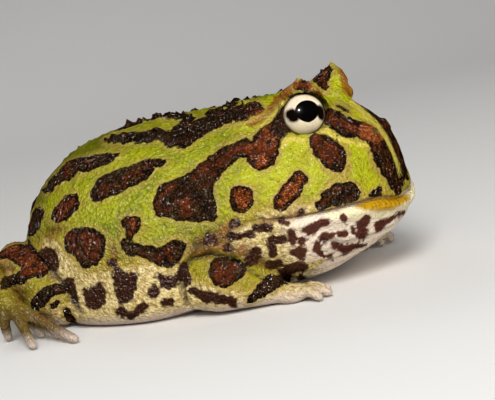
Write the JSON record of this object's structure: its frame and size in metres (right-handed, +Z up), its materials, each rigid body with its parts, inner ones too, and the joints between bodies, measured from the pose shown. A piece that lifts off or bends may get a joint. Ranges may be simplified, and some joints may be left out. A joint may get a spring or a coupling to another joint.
{
  "type": "horned frog",
  "caption": "Life-size Argentine horned frog at rest, sitting with folded legs, a wide mouth, fleshy horns over the eyes and blotched green skin.",
  "frame": {"origin": "middle of the bounding box on the floor, under the belly", "axes": "+X forwards, the way the snout points; +Y to the frog's left; +Z up from the floor"},
  "size_m": [0.1166, 0.1146, 0.0568],
  "materials": {
    "torso_skin": "moist, granular",
    "head_skin": "moist, granular",
    "jaw_skin": "moist, smooth",
    "limb_skin": "moist, granular",
    "eye": "wet"
  },
  "bodies": {
    "root": {"torso": "torso_skin", "head": "head_skin", "lower_jaw": "jaw_skin", "horn_left": "head_skin", "horn_right": "head_skin", "eye_left": "eye", "eye_right": "eye", "arm_left": "limb_skin", "arm_right": "limb_skin", "hand_left": "limb_skin", "hand_right": "limb_skin", "leg_left": "limb_skin", "leg_right": "limb_skin", "foot_left": "limb_skin", "foot_right": "limb_skin"}
  },
  "joints": []
}
